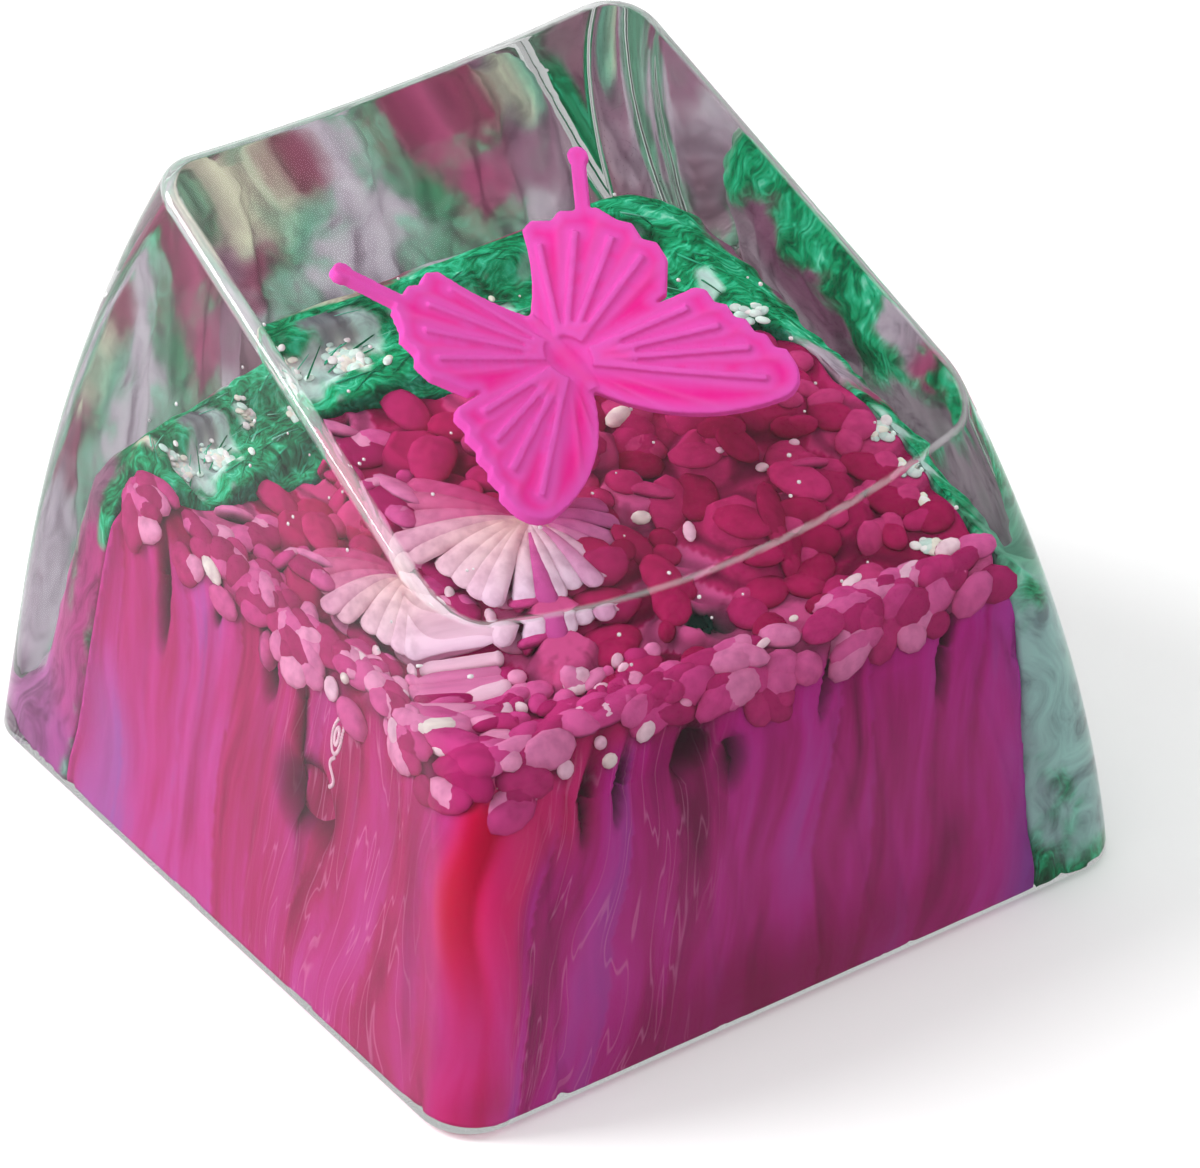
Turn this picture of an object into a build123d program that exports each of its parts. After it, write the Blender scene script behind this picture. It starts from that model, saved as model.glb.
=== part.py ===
from build123d import *
import os
from math import atan2, cos, degrees, radians, sin, sqrt, tan

# A one-unit sculpted keycap cast in clear resin, with two pigment pours and a butterfly sealed inside.
# Millimetres. X runs along the keyboard row, Y from the typist to the back, Z up from the base.

# Walls of the cap
base_width = 18.2  # along the row
base_depth = 18.2  # front to back
side_set = 2.41  # lean of each side wall at dish height
side_bow = 0.14  # outward bow of the side walls
front_set = 5.1  # lean of the front wall at dish height, upright at the base
back_set = 1.58  # lean of the back wall at dish height
back_upright = 3.5  # height of the back wall's upright foot
corner_radius = 1.25  # upright corners
rim_radius = 0.32  # edge round the dish
foot_chamfer = 0.2  # outer edge of the base
trim_margin = 1.5  # height of the rough block over the dish

# Dish under the fingertip
dish_height = 13.05  # lowest line of the dish over the base, at its middle
dish_setback = 1.8  # that place's distance behind the centre
dish_tilt = 20.0  # degrees, rising to the back
dish_radius = 41.0  # curve from side to side

# Hollow under the cap and the stem in it
wall = 1.9  # at the mouth of the hollow
hollow_depth = 4.8
hollow_draft = 4.0  # degrees
hollow_corner = 1.2
stem_diameter = 5.5
stem_recess = 0.4  # end of the stem over the base
cross_length = 4.1
cross_width_x = 1.33  # slot that runs along the row
cross_width_y = 1.17  # slot that runs front to back
cross_depth = 3.9
cross_lead = 0.2  # lead-in at the mouth of the cross

# Pigment pours
pour_level = 7.8  # top of the pigment
pour_skin = 0.3  # clear resin left outside it at the base
pour_floor = 0.12  # clear resin left under it
pour_roof = 0.25  # clear resin left over and round the hollow
pour_front_corner = 1.7
pour_back_corner = 3.4
fold_count = 16  # hanging folds round the pour
fold_depth = 0.25  # depth of the grooves between folds
groove_radius = 0.6
head_height = 1.1  # sloped heads of the folds
head_slope = 40.0  # degrees in from upright
cell_spread = 1.28  # cells on top of the magenta pour: distance out per root of their number
cell_turn = 137.5  # degrees from each cell to the next, so that no two line up
cell_count = 60
cell_width = 1.95  # corner to corner
cell_sides = 6
cell_rise = 0.45  # over the pour's level
cell_slope = 32.0  # degrees in from upright
strand_count = 2  # raised strands along the back of the green pour
strand_pitch = 2.0
strand_width = 1.0
strand_margin = 0.2  # from the edge of the top to the first strand
strand_rise = 0.4
strand_bevel = 0.25  # along its top
strand_corner = 0.6  # smallest turn of a strand
green_back = 3.6  # where the green pour starts behind the centre, half way to the left
green_slope = 12.0  # degrees, its edge comes forward to the right
green_right = 2.6  # width of the green strip down the right side at the base
magenta_left = 2.8  # width of the magenta strip down the left side at the base
magenta_back = 5.9  # where that strip ends behind the centre
green_round = 1.6  # corners where the two turn

# Butterfly under the dish
fly_depth = 2.0  # under the lowest line of the dish
fly_right = 0.2  # from the middle plane
fly_forward = 2.05  # from the dish's middle, down the slope
fly_turn = 5.0  # degrees
fly_lift = 17.0  # degrees, each wing up from the body
wing_reach = 4.2  # body to fore wing tip
fore_reach = 3.4  # body to the front of the wings
hind_reach = 3.15  # body to the back of the hind wings
tail_reach = 4.2  # body to the tips of the tails
wing_thickness = 0.4
vein_width = 0.16
vein_height = 0.12
tail_width = 0.32
club_diameter = 0.46
tooth_ratio = 0.22  # height of each tooth in the wing margins to its length
trunk_width = 0.62
head_width = 0.36  # where the head ends
tail_end_width = 0.24  # where the abdomen ends
trunk_slope = 15.0  # degrees, its sides lean in to its back
trunk_front = 1.0  # wing roots to the end of the head
thorax_front = 0.6  # wing roots to the front of the thorax
abdomen_length = 1.4  # wing roots to the end of the abdomen

slope = radians(dish_tilt)
trim_height = dish_height + base_depth / 2 * tan(slope) + trim_margin


def upright_arc_radius(lean, rise):
    return (rise**2 + lean**2) / (2 * lean)


front_radius = upright_arc_radius(front_set, dish_height)
back_radius = upright_arc_radius(back_set, dish_height - back_upright)


def half_width_at(height):
    return base_width / 2 - side_set * height / dish_height


def front_at(height):
    return -base_depth / 2 + front_radius - sqrt(front_radius**2 - height**2)


def back_at(height):
    rise = max(height - back_upright, 0.0)
    return base_depth / 2 - back_radius + sqrt(back_radius**2 - rise**2)


def wall_block(inset, height):
    """Block between the four walls, each moved in by the inset, up to a height."""
    half_base = base_width / 2 - inset
    half_top = half_width_at(height) - inset
    half_mid = (half_base + half_top) / 2 + side_bow * (height / trim_height) ** 2
    row_profile = make_face(
        [
            Line((-half_base, 0), (half_base, 0)),
            ThreePointArc((half_base, 0), (half_mid, height / 2), (half_top, height)),
            Line((half_top, height), (-half_top, height)),
            ThreePointArc((-half_top, height), (-half_mid, height / 2), (-half_base, 0)),
        ]
    )
    front_height = min(height, dish_height)
    front = [(front_at(z) + inset, z) for z in (0, front_height / 2, front_height)]
    middle_height = (back_upright + height) / 2
    back = [(back_at(z) - inset, z) for z in (back_upright, middle_height, height)]
    edges = [
        Line(front[0], (back[0][0], 0)),
        Line((back[0][0], 0), back[0]),
        ThreePointArc(*back),
        Line(back[2], (front[2][0], height)),
        ThreePointArc(front[2], front[1], front[0]),
    ]
    if height > front_height:
        edges.insert(4, Line((front[2][0], height), front[2]))
    side_profile = make_face(edges)
    across = extrude(Plane.XZ * row_profile, amount=base_depth, both=True)
    along = extrude(Plane.YZ * side_profile, amount=base_width, both=True)
    return across & along


def corner_edges(block):
    """The four upright corners, found away from both middle planes."""
    return [
        edge
        for edge in block.edges()
        if abs(edge.center().X) > base_width / 4
        and abs(edge.center().Y) > base_depth / 4
        and edge.bounding_box().size.Z > foot_chamfer
    ]


def dish_plane(right, back, depth):
    """A plane parallel to the dish, off its middle, with X along the row and Y up the slope."""
    up_slope = Vector(0, cos(slope), sin(slope))
    normal = Vector(0, -sin(slope), cos(slope))
    middle = Vector(0, dish_setback, dish_height)
    origin = middle + Vector(right, 0, 0) + up_slope * back - normal * depth
    return Plane(origin=origin, x_dir=(1, 0, 0), z_dir=normal)


def outer_cap():
    """The sculpted outside: leaning walls, a tilted dish and rounded edges."""
    length = 4 * base_depth
    finger = dish_plane(0, 0, -dish_radius) * Rot(X=90) * Cylinder(dish_radius, length)
    cap = wall_block(0, trim_height) - finger
    cap = fillet(corner_edges(cap), corner_radius)
    cap = fillet(cap.faces().sort_by(Axis.Z)[-1].edges(), rim_radius)
    return chamfer(cap.faces().sort_by(Axis.Z)[0].edges(), foot_chamfer)


def hollow(grow):
    """The space under the cap, wider and higher by the growth on every side."""
    mouth = RectangleRounded(
        base_width - 2 * wall + 2 * grow,
        base_depth - 2 * wall + 2 * grow,
        hollow_corner + grow,
    )
    return extrude(mouth, amount=hollow_depth + grow, taper=hollow_draft)


def stem():
    """The post that takes the switch's cross."""
    up = (Align.CENTER, Align.CENTER, Align.MIN)
    return Pos(0, 0, stem_recess) * Cylinder(stem_diameter / 2, hollow_depth - stem_recess, align=up)


def cross():
    """The cross-shaped socket, with a lead-in at its mouth."""
    arms = Rectangle(cross_length, cross_width_x) + Rectangle(cross_width_y, cross_length)
    socket = extrude(Pos(0, 0, stem_recess) * arms, amount=cross_depth)
    mouth = offset(arms, cross_lead, kind=Kind.INTERSECTION)
    lead = extrude(Pos(0, 0, stem_recess) * mouth, amount=cross_lead, taper=45)
    return socket + lead


head_run = head_height * (tan(radians(head_slope)) - side_set / dish_height)
top_half = half_width_at(pour_level) - pour_skin - head_run


def pour_plan(height, inset):
    """Rounded outline of the pour at a height, leaning in with the side walls."""
    draw_in = pour_skin + inset + (height - pour_floor) * side_set / dish_height
    plan = Rectangle(base_width - 2 * draw_in, base_depth - 2 * draw_in)
    corners = plan.vertices().sort_by(Axis.Y)
    plan = fillet(corners[2:], max(pour_back_corner - draw_in + pour_skin, strand_corner))
    front_corners = plan.vertices().group_by(Axis.Y)[0]
    return Pos(0, 0, height) * fillet(front_corners, pour_front_corner)


def grooves():
    """Round grooves that part the hanging folds, each leaning with its wall."""
    inset = fold_depth - groove_radius
    feet = pour_plan(pour_floor, inset).wire()
    heads = pour_plan(pour_level - head_height, inset).wire()
    cuts = []
    for index in range(fold_count):
        foot = feet @ (index / fold_count)
        run = heads @ (index / fold_count) - foot
        cuts.append(Plane(foot, z_dir=run) * Cylinder(groove_radius, 3 * run.length))
    return cuts


def cells():
    """Low cells of pigment on top of the magenta pour, spread like the seeds of a sunflower."""
    room = top_half - cell_width / 2
    cell = extrude(RegularPolygon(cell_width / 2, cell_sides), amount=cell_rise, taper=cell_slope)
    placed = []
    for index in range(cell_count):
        turn = index * cell_turn
        reach = cell_spread * sqrt(index)
        x, y = reach * cos(radians(turn)), reach * sin(radians(turn))
        if max(abs(x), abs(y)) < room and y < green_edge(x) - cell_width / 2:
            placed.append(Pos(x, y, pour_level) * Rot(Z=turn) * cell)
    return placed


def strands(zone):
    """Raised strands that follow the rim on top of the green pour."""
    rings = []
    for index in range(strand_count):
        inset = head_run + strand_margin + index * strand_pitch
        track = pour_plan(pour_level, inset) - pour_plan(pour_level, inset + strand_width)
        ring = extrude(track, amount=strand_rise)
        rings.append(chamfer(ring.faces().sort_by(Axis.Z)[-1].edges(), strand_bevel) - zone)
    return rings


def pour(zone):
    """All the pigment: folds that hang inside the walls, with sloped heads, and cells and strands on top."""
    lean = degrees(atan2(side_set, dish_height))
    shoulder = pour_level - head_height
    curtain = extrude(pour_plan(pour_floor, 0), amount=shoulder - pour_floor, taper=lean)
    heads = extrude(curtain.faces().sort_by(Axis.Z)[-1], amount=head_height, taper=head_slope)
    return curtain + heads + cells() + strands(zone) - grooves() - hollow(pour_roof)


def green_edge(right):
    """Where the green pour starts behind the centre, at a distance to the right."""
    return green_back - (right + base_width / 4) * tan(radians(green_slope))


def magenta_zone():
    """Plan of the front pour and its strip down the left side, with the green one behind it and right."""
    reach = base_width
    right = base_width / 2 - green_right
    left = magenta_left - base_width / 2
    outline = [
        (-reach, -reach),
        (right, -reach),
        (right, green_edge(right)),
        (left, green_edge(left)),
        (left, magenta_back),
        (-reach, magenta_back),
    ]
    plan = make_face(Polyline(*outline, close=True))
    turns = [corner for corner in plan.vertices() if abs(corner.X) < reach and corner.Y > -reach]
    return extrude(fillet(turns[:2], green_round), amount=2 * dish_height)


def toothed(start, end, count):
    """A wing margin of blunt teeth between points."""
    start, end = Vector(*start), Vector(*end)
    step = (end - start) / count
    outward = Vector(step.Y, -step.X) * tooth_ratio
    points = [start]
    for index in range(count):
        points += [start + step * (index + 0.6) + outward, start + step * (index + 1)]
    return Polyline(*points)


def fore_wing():
    """Outline of the right fore wing, its root at the body."""
    root = (0, -0.24 * fore_reach)
    tip_front = (0.8 * wing_reach, -fore_reach)
    tip_side = (wing_reach, -0.84 * fore_reach)
    margin_end = (0.85 * wing_reach, -0.04 * fore_reach)
    return make_face(
        [
            ThreePointArc(root, (0.37 * wing_reach, -0.77 * fore_reach), tip_front),
            ThreePointArc(tip_front, (0.94 * wing_reach, -0.97 * fore_reach), tip_side),
            toothed(tip_side, margin_end, 5),
            Line(margin_end, (0, 0.12 * fore_reach)),
            Line((0, 0.12 * fore_reach), root),
        ]
    )


def hind_wing():
    """Outline of the right hind wing, without its tail."""
    notch = (0.7 * wing_reach, 0.03 * hind_reach)
    shoulder = (0.84 * wing_reach, 0.25 * hind_reach)
    corner = (0.77 * wing_reach, 0.69 * hind_reach)
    tail_root = (0.64 * wing_reach, 0.9 * hind_reach)
    heel = (0.31 * wing_reach, hind_reach)
    root = (0, 0.4 * hind_reach)
    return make_face(
        [
            Line((0, 0), notch),
            Line(notch, shoulder),
            toothed(shoulder, corner, 2),
            toothed(corner, tail_root, 1),
            toothed(tail_root, heel, 2),
            ThreePointArc(heel, (0.15 * wing_reach, 0.62 * hind_reach), root),
            Line(root, (0, 0)),
        ]
    )


def bar(start, end, width):
    """A flat bar between two points."""
    run = end - start
    turn = degrees(atan2(run.Y, run.X))
    return Pos((start + end) / 2) * Rot(Z=turn) * Rectangle(run.length, width)


def tail():
    """A slim tail that ends in a club."""
    root = Vector(0.6 * wing_reach, 0.78 * hind_reach)
    tip = Vector(0.84 * wing_reach, tail_reach - club_diameter / 2)
    return bar(root, tip, tail_width) + Pos(tip) * Circle(club_diameter / 2)


def veins():
    """Ribs that fan out over both wings, from beside the trunk to near the margins."""
    fore = [(0.82, -0.84), (0.86, -0.6), (0.81, -0.36), (0.74, -0.14)]
    hind = [(0.74, 0.36), (0.68, 0.6), (0.54, 0.78), (0.33, 0.84)]
    ends = [Vector(u * wing_reach, v * fore_reach) for u, v in fore]
    ends += [Vector(u * wing_reach, v * hind_reach) for u, v in hind]
    ribs = [bar(end.normalized() * trunk_width, end, vein_width) for end in ends]
    return [extrude(rib, amount=wing_thickness / 2 + vein_height) for rib in ribs]


def trunk():
    """Head, thorax and tapering abdomen in one piece, with sloped sides, thicker than the wings."""
    side = [
        (head_width / 2, -trunk_front),
        (trunk_width / 2, -thorax_front),
        (trunk_width / 2, 0),
        (tail_end_width / 2, abdomen_length),
    ]
    other_side = [(-u, v) for u, v in reversed(side)]
    outline = make_face(Polyline(*side, *other_side, close=True))
    back = extrude(outline, amount=trunk_width / 2, taper=trunk_slope)
    return back + mirror(back, Plane.XY)


def butterfly():
    """Four wings with tails on a slim trunk, lifted a little from the body and set under the dish."""
    outline = fore_wing() + hind_wing() + tail()
    wing = extrude(outline, amount=wing_thickness / 2, both=True) + veins()
    right = Rot(Y=-fly_lift) * wing
    left = mirror(right, Plane.YZ)
    place = dish_plane(fly_right, -fly_forward, fly_depth)
    return place * Rot(Z=fly_turn) * (right + left + trunk())


zone = magenta_zone()
pigment = pour(zone)
insect = butterfly()
nodes = {
    "clear_cap": outer_cap() - hollow(0) + stem() - cross() - pigment - insect,
    "magenta_pour": pigment & zone,
    "green_pour": pigment - zone,
    "butterfly": insect,
}

os.makedirs("parts", exist_ok=True)
for name, shape in nodes.items():
    export_step(shape, f"parts/{name}.step")
    print(name, len(shape.solids()), round(shape.volume, 2), shape.bounding_box())
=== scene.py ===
import random
from bisect import bisect
from math import atan2, cos, degrees, exp, hypot, pi, radians, sin, sqrt, tau

import bmesh
import bpy
from mathutils import Matrix, Quaternion, Vector, kdtree, noise
from mathutils.bvhtree import BVHTree


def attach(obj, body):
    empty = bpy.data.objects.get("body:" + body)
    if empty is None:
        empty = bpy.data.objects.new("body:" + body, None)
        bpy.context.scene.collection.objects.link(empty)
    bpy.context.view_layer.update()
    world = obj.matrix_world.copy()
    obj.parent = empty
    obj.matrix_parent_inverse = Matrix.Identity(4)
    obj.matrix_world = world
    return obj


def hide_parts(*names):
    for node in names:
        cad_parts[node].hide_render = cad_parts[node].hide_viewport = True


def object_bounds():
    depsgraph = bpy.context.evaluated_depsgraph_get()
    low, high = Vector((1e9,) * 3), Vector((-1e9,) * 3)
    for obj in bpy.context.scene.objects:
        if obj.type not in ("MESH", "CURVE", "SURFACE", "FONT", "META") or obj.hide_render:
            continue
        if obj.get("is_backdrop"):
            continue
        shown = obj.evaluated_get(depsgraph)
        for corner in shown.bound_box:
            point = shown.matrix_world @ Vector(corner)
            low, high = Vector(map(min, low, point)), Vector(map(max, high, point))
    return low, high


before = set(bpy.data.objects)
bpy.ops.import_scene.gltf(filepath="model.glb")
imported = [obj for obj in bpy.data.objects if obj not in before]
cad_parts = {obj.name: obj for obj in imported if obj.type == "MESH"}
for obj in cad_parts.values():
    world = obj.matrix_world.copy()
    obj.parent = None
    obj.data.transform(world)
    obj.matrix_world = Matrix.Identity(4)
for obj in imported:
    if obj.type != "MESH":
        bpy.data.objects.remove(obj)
cad_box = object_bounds()
mm = 0.001
noise_seed = 119
noise.seed_set(noise_seed)  # left alone, Blender takes the seed of its noise from the clock

# Magenta pour
# Pearl pigment dropped into the clear resin while it was wet. It sank as soft folds against the
# walls, left rounded cells on top with gaps between them, and hardened there. Painted shade
# darkens its slits, the creases between its folds and the gaps between its cells.
magenta_voxel = 0.11 * mm
pour_level = 7.8
fold_widths = (0.9, 2.1)
fold_swell = 0.17
slit_depth = 0.9
slits = [  # place along the walls from the front left corner, height, half width, half height
    (-11.3, 6.2, 0.20, 1.1), (-7.3, 7.0, 0.20, 0.9), (-5.8, 4.6, 0.95, 0.80), (-6.0, 6.0, 0.24, 1.0),
    (6.5, 6.2, 0.42, 0.55), (5.4, 6.8, 0.36, 0.5), (2.7, 6.5, 0.20, 0.8), (3.6, 6.6, 0.14, 0.7),
    (9.0, 6.9, 0.12, 0.6), (12.2, 6.5, 0.12, 0.9), (14.2, 6.6, 0.10, 0.7), (-9.2, 7.1, 0.12, 0.5),
]
cell_spread = 1.28
cell_turn = 137.5
cell_count = 60
cell_width = 1.95
dark_pools = [(-0.3, -5.0, 0.75), (0.65, -1.7, 0.5), (-4.6, 3.4, 0.4)]  # across, back, radius
pool_depth = 0.4
skin = 0.28
side_profile = ((9.1, 0.0), (7.5907, 8.931), (5.8013, 17.862))  # out from the middle, up
front_circle = (10.146, 0.0, 19.246)  # middle along the depth, middle up, radius
back_foot = 9.1
back_upright = 3.5
back_radius = 29.65
corner_round = 1.25
rim_round = 0.32
edge_gain = 8.0  # how soon a rounded edge counts as one
foot_heights = (1.6, 0.6)  # the foot is drawn out to the wall between these
dish_middle = Vector((0.0, 1.8, 13.05))
dish_radius = 41.0
dish_tilt = radians(20.0)


def smoothstep(low, high, value):
    share = min(1.0, max(0.0, (value - low) / (high - low)))
    return share * share * (3.0 - 2.0 * share)


def node_copy(node):
    """One solid of the frame as a mesh to work on, with its loose triangles merged."""
    shape = bmesh.new()
    shape.from_mesh(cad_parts[node].data)
    bmesh.ops.remove_doubles(shape, verts=shape.verts, dist=0.0005 * mm)
    return shape


def even_grain(shape, voxel, rounds):
    """The same shape with small even faces all over, its edges softened, ready to be sculpted."""
    mesh = bpy.data.meshes.new("rough_cast")
    shape.to_mesh(mesh)
    shape.free()
    cast = bpy.data.objects.new("rough_cast", mesh)
    bpy.context.scene.collection.objects.link(cast)
    grain = cast.modifiers.new("grain", "REMESH")
    grain.mode = "VOXEL"
    grain.voxel_size = voxel
    graph = bpy.context.evaluated_depsgraph_get()
    fine = bmesh.new()
    fine.from_mesh(cast.evaluated_get(graph).data)
    bpy.data.objects.remove(cast)
    for _ in range(rounds):
        bmesh.ops.smooth_vert(fine, verts=fine.verts, factor=0.5)
    fine.normal_update()
    return fine


def add_piece(name, shape, material, slot, *nodes):
    """The finished mesh as a piece of the keycap, in place of its nodes."""
    mesh = bpy.data.meshes.new(name)
    shape.to_mesh(mesh)
    shape.free()
    mesh.materials.append(material)
    mesh.shade_smooth()
    piece = bpy.data.objects.new(name, mesh)
    bpy.context.scene.collection.objects.link(piece)
    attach(piece, "root")
    if nodes:
        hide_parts(*nodes)
    return piece


def circle_through(first, middle, last):
    """Middle and radius of the circle through three points of a profile."""
    (ax, ay), (bx, by), (cx, cy) = first, middle, last
    a, b, c = ax * ax + ay * ay, bx * bx + by * by, cx * cx + cy * cy
    double_area = 2.0 * (ax * (by - cy) + bx * (cy - ay) + cx * (ay - by))
    out = (a * (by - cy) + b * (cy - ay) + c * (ay - by)) / double_area
    up = (a * (cx - bx) + b * (ax - cx) + c * (bx - ax)) / double_area
    return out, up, hypot(ax - out, ay - up)


def rounded(first, second, radius):
    """Two walls and their rounded edge as one: height over it, its way out and its share of the edge."""
    (first_over, first_way, _), (second_over, second_way, _) = first, second
    lean = first_way.dot(second_way)
    one, two = first_over + radius, second_over + radius
    first_share = (one - lean * two) / (1.0 - lean * lean)
    second_share = (two - lean * one) / (1.0 - lean * lean)
    if first_share > 0.0 and second_share > 0.0:
        way = first_way * first_share + second_way * second_share
        share = min(1.0, edge_gain * min(first_share, second_share) / radius)
        return way.length - radius, way.normalized(), share
    return max(first, second, key=lambda wall: wall[0])


side_circle = circle_through(*side_profile)


def true_outside(point):
    """The polished outside near a point: height over it, its way out and its share of the dish's rim."""
    out = Vector((abs(point.x) - side_circle[0], 0.0, point.z - side_circle[1]))
    side_way = Vector((out.x if point.x > 0.0 else -out.x, 0.0, out.z)).normalized()
    side = (out.length - side_circle[2], side_way, 0.0)
    if point.y < 0.0:
        out = Vector((0.0, point.y - front_circle[0], point.z - front_circle[1]))
        end = (out.length - front_circle[2], out.normalized(), 0.0)
    elif point.z < back_upright:
        end = (point.y - back_foot, Vector((0.0, 1.0, 0.0)), 0.0)
    else:
        out = Vector((0.0, point.y - back_foot + back_radius, point.z - back_upright))
        end = (out.length - back_radius, out.normalized(), 0.0)
    over, way, _ = rounded(side, end, corner_round)
    slope = Vector((0.0, cos(dish_tilt), sin(dish_tilt)))
    up = Vector((0.0, -sin(dish_tilt), cos(dish_tilt)))
    out = point - dish_middle - up * dish_radius
    out -= slope * out.dot(slope)
    dish = (dish_radius - out.length, -out.normalized(), 0.0)
    return rounded((over, way, 0.0), dish, rim_round)


def wall_share(point, normal):
    """One where a surface faces out of the keycap, zero where it faces up or in."""
    out = Vector((point.x, point.y, 0.0)).normalized().dot(normal)
    return smoothstep(0.2, 0.6, out)


def draw_out_foot(vert, height, wall):
    """The foot of a pour, brought to the clear skin inside the true wall."""
    over, way, _ = true_outside(vert.co / mm)
    vert.co -= way * (over + skin) * wall * smoothstep(*foot_heights, height) * mm


def flow(point):
    """Place along the two front walls from the corner between them, led along the hanging folds."""
    along = point.x - point.y
    sunk = 1.0 - point.z / pour_level
    left_fan = 1.6 * smoothstep(-12.0, -6.0, along) * smoothstep(0.8, -5.0, along)
    front_fan = 1.0 * smoothstep(0.8, 2.4, along) * smoothstep(8.0, 3.5, along)
    sway = 0.7 * noise.noise(Vector((along * 0.3, point.z * 0.3, 0.0)))
    return along + sunk * (left_fan + front_fan) + sway


def slit_at(point):
    """How far into a slit between two folds a point lies, from 0 to 1. The slit is sunk and painted with
    shade.
    """
    along = point.x - point.y
    depth = 0.0
    for place, height, half_width, half_height in slits:
        off = ((along - place) / half_width) ** 2 + ((point.z - height) / half_height) ** 2
        depth = max(depth, exp(-off * off))
    return depth


def fold_edges(seed):
    draw = random.Random(seed)
    edges = [-24.0]
    while edges[-1] < 24.0:
        edges.append(edges[-1] + draw.uniform(*fold_widths))
    return edges, [draw.random() for _ in edges]


def cell_tree():
    """Middles of the cells on top, spread like the seeds of a sunflower as in the solid."""
    tree = kdtree.KDTree(cell_count)
    for index in range(cell_count):
        reach = cell_spread * sqrt(index)
        turn = radians(index * cell_turn)
        tree.insert((reach * cos(turn), reach * sin(turn), 0.0), index)
    tree.balance()
    return tree


def sculpt_folds(shape, seed):
    """Soft folds and sunk slits on the walls, with what the finish reads from the points: painted shade in
    the slits, creases and cell gaps, and painted light and shade across each fold.
    """
    layers = shape.verts.layers.float
    flow_layer, crevice_shade_layer, tone_and_shade_layer, crown_layer, pool_layer = [
        layers.new(name) for name in ("flow", "crevice_shade", "tone_and_shade", "crown", "pool")
    ]
    edges, fold_tones = fold_edges(seed)
    cells = cell_tree()
    cell_tones = [random.Random(index).random() for index in range(cell_count)]
    for vert in shape.verts:
        point = vert.co / mm
        along = flow(point)
        fold = bisect(edges, along) - 1
        share = (along - edges[fold]) / (edges[fold + 1] - edges[fold])
        bulge = sin(pi * share)
        wall = wall_share(point, vert.normal)
        upper = smoothstep(0.5, 6.5, point.z)
        slit = slit_at(point) * wall
        crown = smoothstep(7.0, 7.7, point.z) * smoothstep(0.2, 0.6, vert.normal.z)
        pools = [smoothstep(size, 0.6 * size, hypot(point.x - x, point.y - y)) for x, y, size in dark_pools]
        pool = crown * max(pools)
        # Each fold's own tone, plus painted light and shade that runs across the fold from one edge to the
        # other.
        tone_and_shade = fold_tones[fold] + 0.5 * (share - 0.5)
        # Painted shade: darkens the slits and, on the upper walls, the creases where the folds meet.
        crevice_shade = max(slit, 0.14 * wall * upper * smoothstep(0.4, 0.0, bulge))
        if crown > 0.0:
            wobble = noise.noise_vector(point * 0.8) * 0.3
            _, index, reach = cells.find((point.x + wobble.x, point.y + wobble.y, 0.0))
            ring = smoothstep(0.38, 0.47, reach / cell_width) * smoothstep(0.64, 0.52, reach / cell_width)
            tone_and_shade += crown * (cell_tones[index] - tone_and_shade)
            # Painted shade in the gaps between the cells on top.
            crevice_shade = max(crevice_shade, 0.55 * crown * ring)
        vert[flow_layer] = along
        vert[crevice_shade_layer] = crevice_shade
        vert[tone_and_shade_layer] = tone_and_shade
        vert[crown_layer] = crown
        vert[pool_layer] = pool
        lift = wall * fold_swell * (bulge - 0.6) * (0.05 + 0.95 * upper) - slit * slit_depth
        vert.co += vert.normal * (lift - pool * pool_depth) * mm
        draw_out_foot(vert, point.z, wall)
    shape.normal_update()


def srgb(code):
    """A colour as written in six hex digits, for a shader."""
    values = [int(code[place:place + 2], 16) / 255 for place in (0, 2, 4)]
    linear = [value / 12.92 if value < 0.04 else ((value + 0.055) / 1.055) ** 2.4 for value in values]
    return (*linear, 1.0)


def add_node(material, kind, inputs=None, **settings):
    """A shader node with its settings, its constant inputs and its links."""
    node = material.node_tree.nodes.new(kind)
    for name, value in settings.items():
        setattr(node, name, value)
    for socket, value in (inputs or {}).items():
        if isinstance(value, bpy.types.NodeSocket):
            material.node_tree.links.new(value, node.inputs[socket])
        else:
            node.inputs[socket].default_value = value
    return node


def add_ramp(material, factor, stops):
    """A colour ramp through the stops, each a place and a colour."""
    node = add_node(material, "ShaderNodeValToRGB", {"Fac": factor})
    band = node.color_ramp.elements
    while len(band) < len(stops):
        band.new(0.5)
    for element, (place, colour) in zip(band, stops):
        element.position = place
        element.color = srgb(colour)
    return node.outputs["Color"]


def add_mix(material, factor, low, high, kind="MIX"):
    """Two colours mixed by a factor."""
    node = add_node(material, "ShaderNodeMix", data_type="RGBA", blend_type=kind)
    for socket, value in ((node.inputs[0], factor), (node.inputs[6], low), (node.inputs[7], high)):
        if isinstance(value, bpy.types.NodeSocket):
            material.node_tree.links.new(value, socket)
        else:
            socket.default_value = value
    return node.outputs[2]


def add_range(material, value, low, high, to_low=0.0, to_high=1.0):
    """A value eased from one range to another."""
    inputs = {"Value": value, "From Min": low, "From Max": high, "To Min": to_low, "To Max": to_high}
    return add_node(material, "ShaderNodeMapRange", inputs, interpolation_type="SMOOTHSTEP").outputs[0]


def add_math(material, operation, first, second):
    return add_node(material, "ShaderNodeMath", {0: first, 1: second}, operation=operation).outputs[0]


def add_window(material, value, low, high, soft):
    """One between two values and zero outside them, with soft ends."""
    start = add_range(material, value, low - soft, low + soft)
    end = add_range(material, value, high - soft, high + soft, 1.0, 0.0)
    return add_math(material, "MULTIPLY", start, end)


def add_attribute(material, name, output="Fac"):
    return add_node(material, "ShaderNodeAttribute", attribute_name=name).outputs[output]


def add_noise(material, vector, scale, detail=2.0, rough=0.5, output="Fac"):
    inputs = {"Vector": vector, "Scale": scale, "Detail": detail, "Roughness": rough}
    return add_node(material, "ShaderNodeTexNoise", inputs).outputs[output]


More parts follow.
